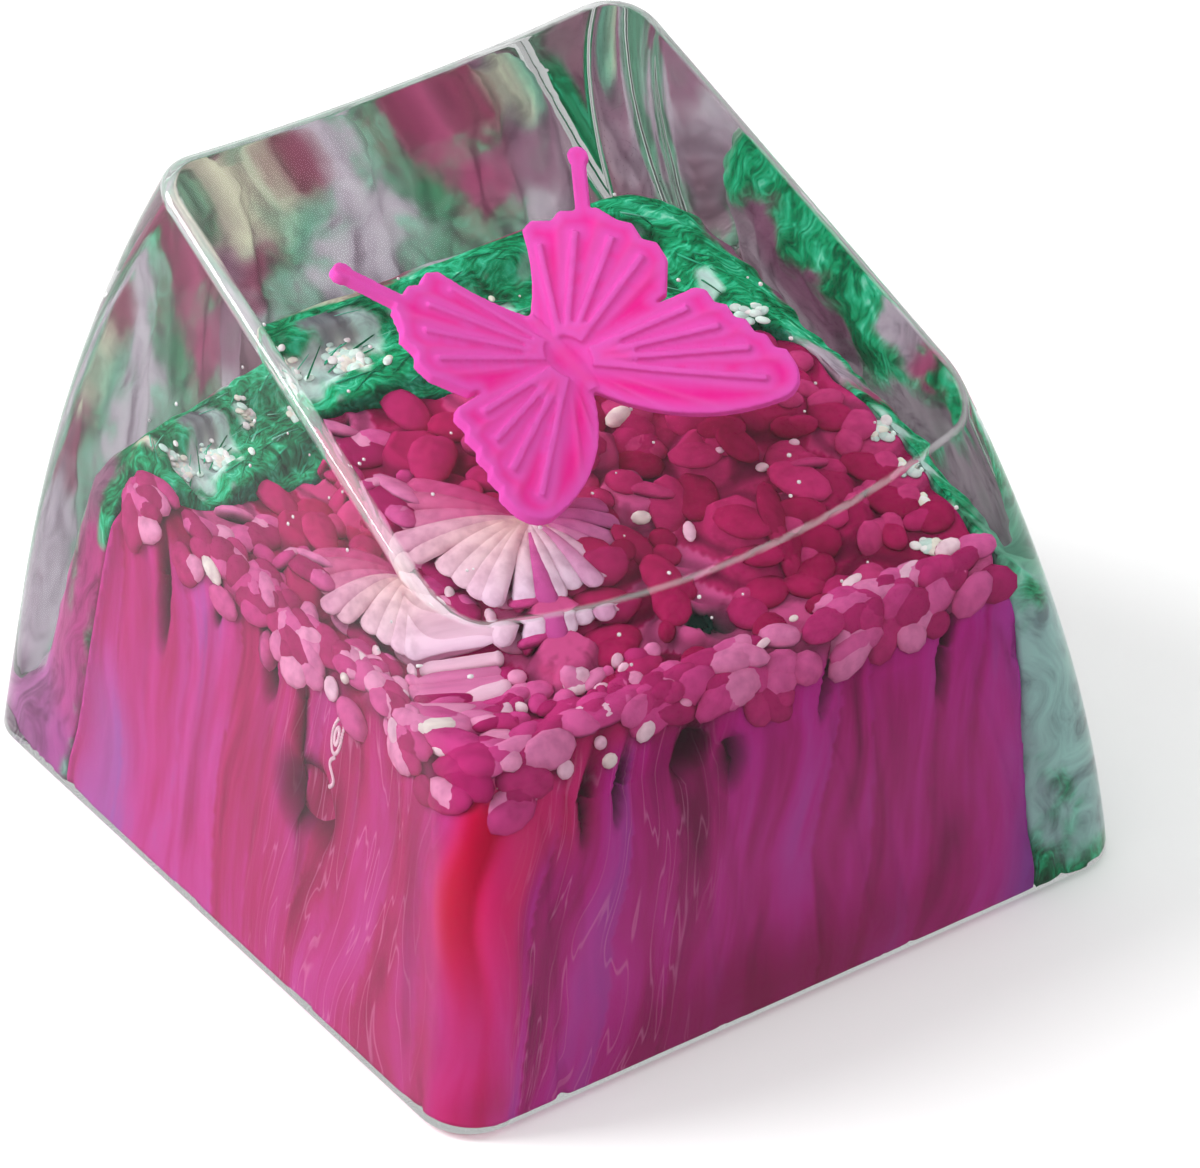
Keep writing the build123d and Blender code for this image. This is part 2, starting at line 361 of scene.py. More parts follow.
def places_in_mm(material):
    """Object coordinates in millimetres."""
    place = add_node(material, "ShaderNodeTexCoord").outputs["Object"]
    scale = {"Vector": place, "Scale": (1 / mm, 1 / mm, 1 / mm)}
    return add_node(material, "ShaderNodeMapping", scale).outputs["Vector"]


def warped(material, place, scale, reach):
    """Places pushed about by slow noise."""
    push = add_noise(material, place, scale, 2.0, output="Color")
    inputs = {0: push, 1: (reach, reach, reach), 2: place}
    return add_node(material, "ShaderNodeVectorMath", inputs, operation="MULTIPLY_ADD").outputs[0]


def stretched(material, place, factors):
    return add_node(material, "ShaderNodeVectorMath", {0: place, 1: factors}, operation="MULTIPLY").outputs[0]


def new_material(name):
    material = bpy.data.materials.new(name)
    material.use_nodes = True
    return material, material.node_tree.nodes["Principled BSDF"]


def link(material, output, shader, socket):
    material.node_tree.links.new(output, shader.inputs[socket])


def magenta_finish():
    """Streaked pearl magenta on the left, plum on the front, crimson at the corner between them."""
    material, shader = new_material("magenta_pigment")
    place = places_in_mm(material)
    height = add_node(material, "ShaderNodeSeparateXYZ", {0: place}).outputs[2]
    along = add_attribute(material, "flow")
    wall = add_node(material, "ShaderNodeCombineXYZ", {0: along, 1: height}).outputs[0]
    hang = warped(material, stretched(material, wall, (1.0, 0.16, 1.0)), 0.5, 0.9)
    streaks = add_noise(material, hang, 0.75, 4.0, 0.55)
    tone_and_shade = add_attribute(material, "tone_and_shade")
    # The tone of each fold and cell, with the painted light and shade across each fold, moves the streaks.
    fold = add_math(material, "MULTIPLY", add_math(material, "SUBTRACT", tone_and_shade, 0.5), 0.16)
    streaks = add_math(material, "ADD", streaks, fold)
    left = add_ramp(material, streaks, [
        (0.28, "941850"), (0.40, "B6246A"), (0.52, "C23086"), (0.62, "CA429C"), (0.76, "A454AE"),
    ])
    front = add_ramp(material, streaks, [
        (0.28, "7E0A4E"), (0.42, "B01878"), (0.52, "C02290"), (0.62, "BE38A0"), (0.78, "A03C9E"),
    ])
    body = add_mix(material, add_range(material, along, 0.8, 1.8), left, front)
    far_left = add_window(material, along, -14.0, -12.6, 0.8)
    blue = add_math(material, "MULTIPLY", far_left, add_range(material, height, 4.6, 1.8))
    body = add_mix(material, add_math(material, "MULTIPLY", blue, 0.5), body, srgb("9068B4"))
    violet = add_range(material, along, 13.6, 15.2, 0.0, 0.7)
    body = add_mix(material, violet, body, srgb("6A3C9C"))
    low_front = add_window(material, along, 5.0, 12.0, 2.0)
    low = add_math(material, "MULTIPLY", low_front, add_range(material, height, 2.6, 0.6))
    body = add_mix(material, add_math(material, "MULTIPLY", low, 0.6), body, srgb("8A0A44"))
    upper = add_range(material, height, 1.5, 5.5, 0.25, 1.0)
    hot = add_math(material, "MULTIPLY", add_window(material, along, -0.6, 1.6, 0.3), upper)
    body = add_mix(material, hot, body, srgb("D8246E"))
    spill = add_math(material, "MULTIPLY", add_window(material, along, 0.6, 2.9, 0.5),
                     add_range(material, height, 5.0, 6.6, 0.0, 0.85))
    body = add_mix(material, spill, body, srgb("D62C76"))
    crimson = add_math(material, "MULTIPLY", add_window(material, along, -0.4, 0.6, 0.25), upper)
    body = add_mix(material, crimson, body, srgb("C80640"))
    hair = add_noise(material, stretched(material, hang, (1.0, 0.5, 1.0)), 3.4, 1.0)
    beside = add_math(material, "MAXIMUM", add_window(material, along, -6.5, -1.2, 0.8),
                      add_window(material, along, 1.6, 6.0, 0.8))
    hairline = add_math(material, "MULTIPLY", add_window(material, hair, 0.50, 0.515, 0.015), beside)
    body = add_mix(material, add_math(material, "MULTIPLY", hairline, 0.4), body, srgb("EE9CCC"))
    cells = add_ramp(material, tone_and_shade, [
        (0.0, "8E0E46"), (0.4, "B01C5E"), (0.7, "C43274"), (1.0, "D45C98"),
    ])
    mottle = add_noise(material, warped(material, place, 0.8, 1.0), 1.6, 4.0)
    cells = add_mix(material, add_range(material, mottle, 0.5, 0.75, 0.0, 0.45), cells, srgb("5E0628"))
    whole = add_mix(material, add_attribute(material, "crown"), body, cells)
    # Painted shade from the slits, creases and cell gaps, in dark plum.
    crevice_shade = add_math(material, "MULTIPLY", add_attribute(material, "crevice_shade"), 0.94)
    whole = add_mix(material, crevice_shade, whole, srgb("420C26"))
    whole = add_mix(material, add_attribute(material, "pool"), whole, srgb("16362E"))
    link(material, whole, shader, "Base Color")
    link(material, add_range(material, streaks, 0.3, 0.7, 0.38, 0.52), shader, "Roughness")
    shader.inputs["Specular IOR Level"].default_value = 0.0
    return material


magenta_shape = even_grain(node_copy("magenta_pour"), magenta_voxel, 4)
sculpt_folds(magenta_shape, 5)
magenta_ground = BVHTree.FromBMesh(magenta_shape)
add_piece("magenta_folds", magenta_shape, magenta_finish(), "magenta_pigment", "magenta_pour")

# Pebbles on the magenta pour
# Drops of the same pigment, and some of white, that rounded off as they met the clear resin. They
# lie in rows along the rim of the pour and loose between its cells.
pebble_colours = ["D0448E", "DC60A2", "C03078", "E684B8", "B0246A"]
pale_colours = ["F8DCE6", "F4C8DE", "F6ECE6"]
left_colours = ["D0448E", "DC60A2", "C03078", "E684B8", "B0246A", "EE9CC6"]
loose_colours = ["B01C5C", "C02C6E", "A01450", "C83C7C", "B8266A"]
# Painted shade under each pebble, where it meets the ground.
pebble_shade = "3A0A20"
lowest_pebble = 6.8 * mm
oval_growth = 0.85
rim_pebbles = 190
rim_run = (-6.6, 6.4)  # along each front wall
rim_inset = (6.1, 7.35)  # out from the middle
rim_end = 5.2  # last one on the left wall
front_share = 0.55
loose_pebbles = 230
loose_reach = ((-6.0, 6.0), (-6.0, 3.4))  # across, back
pink_side = -3.6  # the drops left of this are pinker
pale_drops = [  # across, back, spread, number
    (-5.7, -5.0, 0.6, 34), (-3.0, -5.7, 0.55, 30), (-6.3, -2.6, 0.4, 12),
]
white_ovals = [  # across, back, half length, half width, turn in degrees
    (-7.05, 2.4, 0.50, 0.24, 70), (-6.9, -4.4, 0.46, 0.34, 40), (-6.5, -5.2, 0.42, 0.30, 10),
    (-6.6, -6.4, 0.55, 0.20, -10), (-6.2, -6.9, 0.60, 0.20, 0), (-5.2, -7.0, 0.30, 0.26, 0),
    (-2.1, -6.7, 0.26, 0.20, 30), (-1.5, -6.6, 0.28, 0.14, 10), (-0.64, -6.6, 0.30, 0.18, 15),
    (0.4, -6.5, 0.30, 0.14, 25), (0.9, -6.3, 0.14, 0.12, 0), (1.4, -6.1, 0.14, 0.12, 0),
    (2.6, -6.7, 0.18, 0.14, 0), (3.1, -6.6, 0.22, 0.12, 20), (3.1, -5.8, 0.50, 0.24, 20),
    (4.4, -6.2, 0.56, 0.26, 30), (5.6, -6.0, 0.44, 0.34, 20), (-0.15, -2.5, 0.28, 0.22, 0),
    (0.56, -3.4, 0.40, 0.18, 60), (1.3, 0.4, 0.50, 0.30, 20), (3.4, -0.6, 0.22, 0.16, 0),
    (3.2, -2.5, 0.20, 0.16, 0), (2.5, -1.9, 0.14, 0.12, 0), (4.3, -2.2, 0.16, 0.14, 0),
    (-3.2, -6.7, 0.26, 0.18, 0), (-4.2, -6.3, 0.34, 0.24, -20), (-6.9, 0.6, 0.20, 0.14, 60),
]
oval_lift = 0.14
pale_lift = 0.1
curl_bead = (0.05, 0.05, 0.04)
# The second colour of the curl is painted shade under its beads.
curl_colour, curl_shade = "F6D2E2", "E6A0C4"
curl_back, curl_height = -2.85, 6.6
curl_rings = [(0.17, 0.42, 36), (0.07, 0.2, 20)]  # half width, half height, beads
curl_path = [
    (curl_back + wide * cos(step * tau / beads), curl_height + high * sin(step * tau / beads))
    for wide, high, beads in curl_rings for step in range(beads)
]
tail_back, tail_height, tail_beads = -2.9, 6.1, 30
curl_path += [(tail_back + 0.12 * sin(step * 0.3), tail_height - 0.035 * step) for step in range(tail_beads)]


def mixed(low, high, share):
    """A colour between two others."""
    return [first + (second - first) * share for first, second in zip(low, high)]


def ground_at(tree, across, back):
    """Where the ground under a place is and which way it faces."""
    place, normal, _, _ = tree.ray_cast(Vector((across, back, 20.0)) * mm, Vector((0, 0, -1)))
    return place, normal


def add_pebble(shape, paint, colour, dark, place, normal, turn, sizes):
    """A smooth pebble on the ground, with painted shade where it meets it. Its half sizes are in millimetres.
    """
    side = Vector((cos(turn), sin(turn), 0.0))
    across = normal.cross(side).normalized()
    side = across.cross(normal).normalized()
    axes = Matrix((side, across, normal)).transposed().to_4x4()
    sizes_in_m = Matrix.Diagonal((sizes[0] * mm, sizes[1] * mm, sizes[2] * mm, 1.0))
    stand = Matrix.Translation(place + normal * sizes[2] * 0.35 * mm) @ axes
    made = bmesh.ops.create_icosphere(shape, subdivisions=2, radius=1.0)["verts"]
    for vert in made:
        # Painted shade: the lower part of the pebble darkens towards the ground.
        vert[paint] = mixed(srgb(dark), srgb(colour), smoothstep(-0.75, -0.1, vert.co.z))
        vert.co = (stand @ sizes_in_m) @ vert.co


def painted_finish(name):
    """Pigment in the colour each drop was given, with the painted shade under it, a little mottled."""
    material, shader = new_material(name)
    place = places_in_mm(material)
    mottle = add_noise(material, place, 3.0, 3.0)
    shade = add_ramp(material, mottle, [(0.3, "E6DCE2"), (0.6, "FFFFFF")])
    body = add_mix(material, 1.0, add_attribute(material, "paint", "Color"), shade, "MULTIPLY")
    link(material, body, shader, "Base Color")
    link(material, add_range(material, mottle, 0.3, 0.7, 0.36, 0.5), shader, "Roughness")
    shader.inputs["Specular IOR Level"].default_value = 0.0
    return material


pebble_shape = bmesh.new()
pebble_paint = pebble_shape.verts.layers.float_color.new("paint")
draw = random.Random(31)
for _ in range(rim_pebbles):
    run = draw.uniform(*rim_run)
    inset = draw.uniform(*rim_inset)
    on_front = draw.random() < front_share
    spot = (run, -inset) if on_front else (-inset, min(run, rim_end))
    turn = radians(draw.gauss(0 if on_front else 90, 25))
    place, normal = ground_at(magenta_ground, *spot)
    sizes = (draw.uniform(0.38, 0.8), draw.uniform(0.28, 0.46), draw.uniform(0.2, 0.28))
    colour = draw.choice(pebble_colours if on_front else left_colours)
    if place is not None and place.z > lowest_pebble:
        add_pebble(pebble_shape, pebble_paint, colour, pebble_shade, place, normal, turn, sizes)
for _ in range(loose_pebbles):
    spot = [draw.uniform(*reach) for reach in loose_reach]
    place, normal = ground_at(magenta_ground, *spot)
    size = draw.uniform(0.24, 0.56)
    colour = draw.choice(left_colours if spot[0] < pink_side else loose_colours)
    sizes = (size * draw.uniform(1.0, 1.7), size, 0.2)
    turn = draw.uniform(0, pi)
    clear = all(hypot(spot[0] - x, spot[1] - y) > 0.9 * radius for x, y, radius in dark_pools)
    if clear and place is not None:
        add_pebble(pebble_shape, pebble_paint, colour, pebble_shade, place, normal, turn, sizes)
for across, back, spread, count in pale_drops:
    for _ in range(count):
        place, normal = ground_at(magenta_ground, draw.gauss(across, spread), draw.gauss(back, spread))
        size = draw.uniform(0.12, 0.26)
        sizes = (size * draw.uniform(1.0, 1.8), size, 0.16)
        turn = draw.uniform(0, pi)
        colour = draw.choice(pale_colours + left_colours)
        if place is not None and place.z > lowest_pebble:
            lifted = place + normal * pale_lift * mm
            add_pebble(pebble_shape, pebble_paint, colour, pebble_shade, lifted, normal, turn, sizes)
for across, back, long_half, short_half, degrees_round in white_ovals:
    place, normal = ground_at(magenta_ground, across, back)
    sizes = (oval_growth * long_half, oval_growth * short_half, 0.5 * short_half)
    place = place + normal * oval_lift * mm
    colour = draw.choice(pale_colours)
    add_pebble(pebble_shape, pebble_paint, colour, pebble_shade, place, normal, radians(degrees_round), sizes)
for back, height in curl_path:
    place, normal, _, _ = magenta_ground.ray_cast(Vector((-20.0, back, height)) * mm, Vector((1, 0, 0)))
    add_pebble(pebble_shape, pebble_paint, curl_colour, curl_shade, place, normal, 0.0, curl_bead)
add_piece("magenta_pebbles", pebble_shape, painted_finish("pebble_pigment"), "magenta_pigment")

# Flower in the magenta pour
# A bloom of white and pink pigment drawn out into long petals from one heart, with a cluster of
# cream drops beside it.
flower_heart = (-2.66, -1.74)
petal_rise = 0.42
petal_growth = 1.25
petals = [  # heading in degrees, length, width, colour at the heart and at the tip
    (128, 2.5, 0.62, "B42C70", "D85C96"), (141, 2.7, 0.56, "C23C7C", "E07AA8"),
    (153, 2.6, 0.54, "C84888", "E890B8"), (165, 2.5, 0.52, "EEC4CC", "E6A4C4"),
    (176, 2.5, 0.50, "F2D2CC", "EEBCD0"), (187, 2.5, 0.50, "F4D8CE", "F0C6D8"),
    (198, 2.5, 0.50, "F4DACE", "EEC8DA"), (209, 2.5, 0.48, "F4DACE", "EEC4DC"),
    (220, 2.4, 0.46, "F2D4CC", "F0CCE4"), (231, 2.3, 0.46, "F2D4D0", "EED0EA"),
    (243, 2.2, 0.44, "D870B0", "C44C98"), (254, 2.1, 0.44, "F0D4DC", "F0D8EC"),
    (266, 2.0, 0.44, "F0D8E0", "EED2E8"), (279, 1.9, 0.42, "D87CB4", "E6B0D4"),
    (292, 1.8, 0.40, "EED0DE", "E8BCD8"), (306, 1.7, 0.40, "D46CA8", "E4A0CC"),
    (320, 1.7, 0.40, "C4509A", "DC88BC"), (336, 1.6, 0.40, "B8408C", "D070AC"),
    (354, 1.5, 0.40, "AC2C74", "C85C9C"),
]
# Painted shade under the petals.
petal_shade = "5E2448"
cream_drops = 16
drop_colours = ["EBBFAE", "F0CFC0", "E8B4B4"]
# Painted shade under the cream drops.
drop_shade = "6A2438"


def add_petal(shape, paint, colours, dark, place, heading, length, width, arch, rings=6):
    """A long drop that starts at a place, arches up and lies down again, with painted shade underneath."""
    ahead = Vector((cos(heading), sin(heading), 0.0))
    aside = Vector((-sin(heading), cos(heading), 0.0))
    made = bmesh.ops.create_uvsphere(shape, u_segments=8, v_segments=rings, radius=1.0)["verts"]
    for vert in made:
        side, up, share = vert.co.x, vert.co.y, (vert.co.z + 1.0) / 2.0
        colour = mixed(srgb(colours[0]), srgb(colours[1]), share)
        # Painted shade on the underside.
        vert[paint] = mixed(srgb(dark), colour, smoothstep(-0.6, 0.1, up))
        blunt = side / max(0.2, hypot(side, up)) * min(1.0, 2.2 * hypot(side, up))
        rise = arch * sin(pi * min(1.0, 0.25 + 0.7 * share)) + 0.3 * width * up
        vert.co = place + (ahead * length * share + aside * 0.5 * width * blunt * (0.45 + 0.55 * share)) * mm
        vert.co.z += rise * mm


flower_shape = bmesh.new()
flower_paint = flower_shape.verts.layers.float_color.new("paint")
heart = Vector((flower_heart[0] * mm, flower_heart[1] * mm, (pour_level + 0.3) * mm))
for heading, length, width, heart_colour, tip_colour in petals:
    bend = draw.uniform(-3, 3)
    length, width = length * petal_growth * draw.uniform(0.86, 1.08), width * petal_growth * 1.1
    arch = petal_rise * draw.uniform(0.85, 1.15)
    colours = (heart_colour, tip_colour)
    turn = radians(heading + bend)
    add_petal(flower_shape, flower_paint, colours, petal_shade, heart, turn, length, width, arch, 16)
for _ in range(cream_drops):
    turn = radians(draw.uniform(270, 380))
    reach = draw.uniform(0.15, 1.1)
    place = heart + Vector((cos(turn) * reach, sin(turn) * reach, petal_rise - 0.2 * reach)) * mm
    size = draw.uniform(0.14, 0.26)
    colour = draw.choice(drop_colours)
    sizes = (size * 1.3, size, size * 0.7)
    turn = draw.uniform(0, pi)
    add_pebble(flower_shape, flower_paint, colour, drop_shade, place, Vector((0, 0, 1)), turn, sizes)
add_piece("pigment_flower", flower_shape, painted_finish("flower_pigment"), "magenta_pigment")

# Green pour
# The second pigment, poured in behind and beside the first. It set as emerald fur with mint wisps
# and shares a seam with the magenta one.
green_voxel = 0.12 * mm
fur_height = 0.1
rose, crimson, plum, lilac = "A83C6E", "861A4C", "8A5874", "C4B8C4"
cream, leaf, mint, ash = "D6D4B8", "2C7E54", "74BC9C", "AC9CA6"
milk, frost, smoke, sea = "F6F8F2", "C4ECDF", "6E7478", "A2CCC6"
# Patches on the sides and top are stains of the other pigments; those on the back of the pour are a painted
# reflection of the top of the pours, as the back wall mirrors it.
stains_and_reflection = [  # across, back, height, radius, colour
    (-2.1, 7.5, 6.5, 0.9, cream), (-2.7, 7.8, 4.6, 0.55, crimson), (-0.6, 7.4, 7.1, 0.7, crimson),
    (0.6, 7.5, 6.8, 0.7, lilac), (-1.1, 7.7, 5.7, 0.7, mint), (1.1, 7.8, 5.2, 0.8, lilac),
    (2.6, 7.4, 7.2, 0.6, crimson), (3.4, 7.5, 6.8, 0.7, rose), (2.7, 7.8, 5.5, 0.6, leaf),
    (4.5, 7.5, 6.8, 0.6, crimson), (5.6, 7.4, 6.6, 0.5, cream), (6.5, 7.3, 6.3, 0.7, mint),
    (5.9, 7.7, 5.0, 0.8, plum), (4.3, 7.8, 4.9, 0.8, rose), (0.2, 7.9, 3.6, 1.1, lilac),
    (-4.2, 8.0, 3.4, 1.2, lilac), (-5.4, 8.2, 1.6, 1.4, lilac), (-3.6, 7.8, 5.4, 0.8, plum),
    (6.6, 7.7, 2.8, 1.1, lilac), (-7.0, 6.2, 5.0, 1.0, "B83A80"), (-7.3, 6.7, 3.0, 1.4, "C2468E"),
    (-7.7, 7.0, 0.9, 1.4, "B654A2"), (-6.3, 6.9, 6.6, 0.8, plum),
    (7.0, 7.3, 4.6, 0.9, plum), (7.3, 7.0, 2.4, 1.1, crimson),
    (7.6, -7.4, 1.5, 1.2, sea), (7.4, -7.2, 3.6, 1.1, sea), (7.0, -7.3, 5.5, 1.4, sea),
    (6.9, -5.8, 7.2, 1.0, mint), (7.8, -1.4, 4.6, 1.6, ash), (7.5, 2.7, 5.8, 1.0, plum),
    (7.4, 4.8, 6.3, 1.0, plum), (7.8, 2.0, 2.5, 1.8, ash), (7.8, -4.6, 3.0, 1.9, mint),
    (7.6, -4.6, 5.8, 1.4, mint), (6.9, -0.2, 7.5, 0.7, lilac), (7.1, -1.3, 7.2, 0.5, rose),
    (8.0, -5.6, 0.8, 1.3, sea), (8.0, -2.0, 1.4, 1.8, mint), (8.0, 5.6, 3.4, 2.0, ash),
    (-3.2, 4.9, 8.0, 0.50, milk), (-4.0, 4.7, 7.9, 0.55, frost), (-3.4, 5.8, 8.0, 0.55, smoke),
    (-2.4, 5.4, 8.0, 0.40, frost), (-4.9, 5.3, 7.7, 0.55, milk), (-5.5, 5.6, 7.4, 0.60, cream),
    (-5.0, 4.5, 7.7, 0.45, frost), (0.9, 4.7, 8.0, 0.50, frost), (-1.0, 5.4, 8.0, 0.35, frost),
    (6.3, -2.8, 7.7, 0.60, frost), (5.9, -3.9, 7.7, 0.45, milk), (5.5, -5.6, 7.5, 0.50, frost),
    (5.6, 3.0, 8.0, 0.40, frost), (4.8, 5.2, 8.0, 0.35, mint), (2.6, 5.6, 8.0, 0.30, mint),
]
# Grey green over the back of the pour, part of its painted reflection.
back_reflection_tint = "7C9488"


def sculpt_fur(shape):
    """Fine ridges along the fur, with the stains of other pigments on its sides and top, and on its back a
    painted reflection of the top of the pours as the back wall mirrors it.
    """
    stain_and_reflection_layer = shape.verts.layers.float_color.new("stain_and_reflection")
    share_layer = shape.verts.layers.float.new("stain_and_reflection_share")
    spots = [(Vector((x, y, z)), radius, srgb(colour)) for x, y, z, radius, colour in stains_and_reflection]
    tints = [colour for _, _, colour in spots] + [srgb(back_reflection_tint)]
    for vert in shape.verts:
        point = vert.co / mm
        sway = noise.noise_vector(point * 0.4) * 1.4
        ridge = noise.noise(Vector((point.x * 0.5, point.y * 2.4, point.z)) + sway)
        seen = point + noise.noise_vector(point * 0.7) * 0.65 + noise.noise_vector(point * 1.9) * 0.4
        seen += noise.noise_vector(point * 4.0) * 0.15
        # On the back the green gives way to the painted reflection.
        behind = smoothstep(6.5, 7.3, point.y) * smoothstep(7.9, 7.2, point.z)
        weights = [exp(-((seen - spot).length_squared) / radius ** 2) for spot, radius, _ in spots]
        weights.append(0.12 * behind + 0.001)
        whole = sum(weights)
        vert[stain_and_reflection_layer] = [
            sum(weight * tint[channel] for weight, tint in zip(weights, tints)) / whole
            for channel in range(4)
        ]
        vert[share_layer] = max(0.65 * behind, smoothstep(0.12, 0.5, whole))
        wall = wall_share(point, vert.normal)
        vert.co += vert.normal * ridge * fur_height * mm
        draw_out_foot(vert, point.z, wall)
    shape.normal_update()


def green_finish():
    """Emerald strands from near black to mint, with the stains of the other pigments, and the painted
    reflection on the back, over them.
    """
    material, shader = new_material("green_pigment")
    place = places_in_mm(material)
    flowing = warped(material, place, 0.35, 5.0)
    fur = add_noise(material, stretched(material, flowing, (1.0, 1.0, 0.25)), 1.1, 5.0, 0.62)
    combed = stretched(material, warped(material, place, 0.8, 2.0), (1.0, 4.0, 1.0))
    fine = add_noise(material, combed, 2.2, 4.0)
    strands = add_mix(material, 0.4, fur, fine)
    body = add_ramp(material, strands, [
        (0.36, "04381F"), (0.45, "0A6E44"), (0.52, "129C66"), (0.60, "38C696"), (0.72, "B0F0DA"),
    ])
    wisps = add_ramp(material, fur, [(0.36, "B8AEB6"), (0.5, "ECE8EC"), (0.62, "FFFFFF")])
    stain_and_reflection = add_mix(material, 1.0, add_attribute(material, "stain_and_reflection", "Color"), wisps, "MULTIPLY")
    body = add_mix(material, add_attribute(material, "stain_and_reflection_share"), body, stain_and_reflection)
    link(material, body, shader, "Base Color")
    link(material, add_range(material, fur, 0.3, 0.7, 0.35, 0.55), shader, "Roughness")
    shader.inputs["Specular IOR Level"].default_value = 0.0
    return material


green_shape = even_grain(node_copy("green_pour"), green_voxel, 4)
sculpt_fur(green_shape)
green_ground = BVHTree.FromBMesh(green_shape)
add_piece("green_fur", green_shape, green_finish(), "green_pigment", "green_pour")

# Strands and foam on the green pour
# Drawn-out threads of the green pigment, combed round the back rim, and white foam where the two
# pours meet.
fur_middle = (-0.5, -1.5)
fur_strands = 420
# Painted shade under the strands.
fur_shade = "06402A"
fur_colours = [("0C7A4E", "1AA672"), ("129464", "3CC89A"), ("0B6240", "148A5C"), ("22AA7E", "98ECD0")]
foam_patches = [  # across, back, spread, number of drops
    (-3.2, 4.9, 0.5, 70), (-2.5, 4.2, 0.12, 4), (-4.9, 5.2, 0.5, 40),
    (-1.0, 5.5, 0.4, 18), (0.9, 4.7, 0.5, 24),
    (6.3, -2.8, 0.35, 26), (5.9, -3.9, 0.35, 24), (5.4, -5.5, 0.35, 26), (5.9, 1.6, 0.4, 16),
]
foam_colours = ["F4F6F2", "DDF2E8", "EEF0E0", "CDEADF"]
# Painted shade under the foam drops.
foam_shade = "9CBCAE"
foam_gather = 0.42  # how close the drops lie within their spread
foam_lowest = 6.4 * mm
foam_lift = 0.02
strand_reach = ((-6.0, 6.4), (0.0, 6.4))  # across, back
strand_lowest = 7.5 * mm
strand_fall = 0.1 * mm  # most that a strand's ends differ in height


def highest_ground(across, back):
    """The top of either pour under a place."""
    hits = [ground_at(tree, across, back)[0] for tree in (green_ground, magenta_ground)]
    return max((hit for hit in hits if hit is not None), key=lambda hit: hit.z, default=None)


wisp_shape = bmesh.new()
wisp_paint = wisp_shape.verts.layers.float_color.new("paint")
for _ in range(fur_strands):
    across, back = [draw.uniform(*reach) for reach in strand_reach]
    place, _ = ground_at(green_ground, across, back)
    length, width = draw.uniform(0.5, 1.3), draw.uniform(0.03, 0.08)
    heading = atan2(back - fur_middle[1], across - fur_middle[0]) + 0.5 * pi + draw.gauss(0.0, 0.24)
    colours = draw.choice(fur_colours)
    end, _ = ground_at(green_ground, across + cos(heading) * length, back + sin(heading) * length)
    level = place is not None and end is not None and abs(place.z - end.z) < strand_fall
    if level and place.z > strand_lowest:
        add_petal(wisp_shape, wisp_paint, colours, fur_shade, place, heading, length, width, 0.03)
for across, back, spread, count in foam_patches:
    for _ in range(count):
        gather = foam_gather * spread
        place = highest_ground(draw.gauss(across, gather), draw.gauss(back, gather))
        size = draw.uniform(0.05, 0.15)
        sizes = (size * draw.uniform(1.0, 1.6), size, size * 0.4)
        turn = draw.uniform(0, pi)
        colour = draw.choice(foam_colours)
        if place is not None and place.z > foam_lowest:
            up = Vector((0, 0, 1))
            place = place + up * foam_lift * mm
            add_pebble(wisp_shape, wisp_paint, colour, foam_shade, place, up, turn, sizes)
add_piece("mint_wisps", wisp_shape, painted_finish("wisp_pigment"), "green_pigment")

# Butterfly
# A small charm moulded in hot pink plastic, with ribbed wings and slim tails. It is sealed in the
# clear resin under the dish.
fly_voxel = 0.05 * mm
fly_turn = radians(5.0)
fly_lift = radians(17.0)
wing_top = 0.2
fly_right = 0.2
fly_middle = dish_middle + Vector((fly_right, 0.0, 0.0))
fly_forward = 2.05
fly_depth = 2.0
fine_vein = 0.06
margin_width = 0.45
wing_split = 5.0  # degrees, between fore and hind wing
fore_vein, fore_step = -39.7, 10.3  # degrees, a moulded vein and the step to the next
hind_vein, hind_step = 20.0, 14.1


def fly_axes():
    """The charm's middle and its directions to the right, to the back and up, in millimetres."""
    slope = Vector((0, cos(dish_tilt), sin(dish_tilt)))
    up = Vector((0, -sin(dish_tilt), cos(dish_tilt)))
    right = Vector((1, 0, 0)) * cos(fly_turn) + slope * sin(fly_turn)
    back = slope * cos(fly_turn) - Vector((1, 0, 0)) * sin(fly_turn)
    return fly_middle - slope * fly_forward - up * fly_depth, right, back, up


def sculpt_wings(shape):
    """Fine veins between the moulded ones, with what the finish reads: a painted highlight on the raised
    veins, and the margins.
    """
    ridge_highlight_layer = shape.verts.layers.float.new("ridge_highlight")
    margin_layer = shape.verts.layers.float.new("margin")
    middle, right, back, up = fly_axes()
    rims = [vert.co / mm for vert in shape.verts if abs(vert.normal.dot(up)) < 0.5]
    rim_tree = kdtree.KDTree(len(rims))
    for index, point in enumerate(rims):
        rim_tree.insert(point, index)
    rim_tree.balance()
    for vert in shape.verts:
        point = vert.co / mm
        out = point - middle
        across, along, height = abs(out.dot(right)), out.dot(back), out.dot(up)
        angle = degrees(atan2(along, across))
        first, step = (fore_vein, fore_step) if angle < wing_split else (hind_vein, hind_step)
        phase = (angle - first) / step
        over = height - across * sin(fly_lift) / cos(fly_lift) - wing_top / cos(fly_lift)
        facing = smoothstep(0.6, 0.85, vert.normal.dot(up))
        reach = smoothstep(0.7, 1.4, hypot(across, along))
        ridge = (0.5 - 0.5 * cos(tau * phase)) ** 3 * facing * reach
        margin = smoothstep(margin_width, 0.05, rim_tree.find(point)[2])
        # Painted highlight on the ridges of the veins and on what stands above the wings.
        vert[ridge_highlight_layer] = max(ridge * 0.8, smoothstep(0.02, 0.1, over)) * facing
        vert[margin_layer] = margin
        vert.co += vert.normal * fine_vein * (ridge - 0.3 * facing * reach) * (1.0 - margin) * mm
    shape.normal_update()


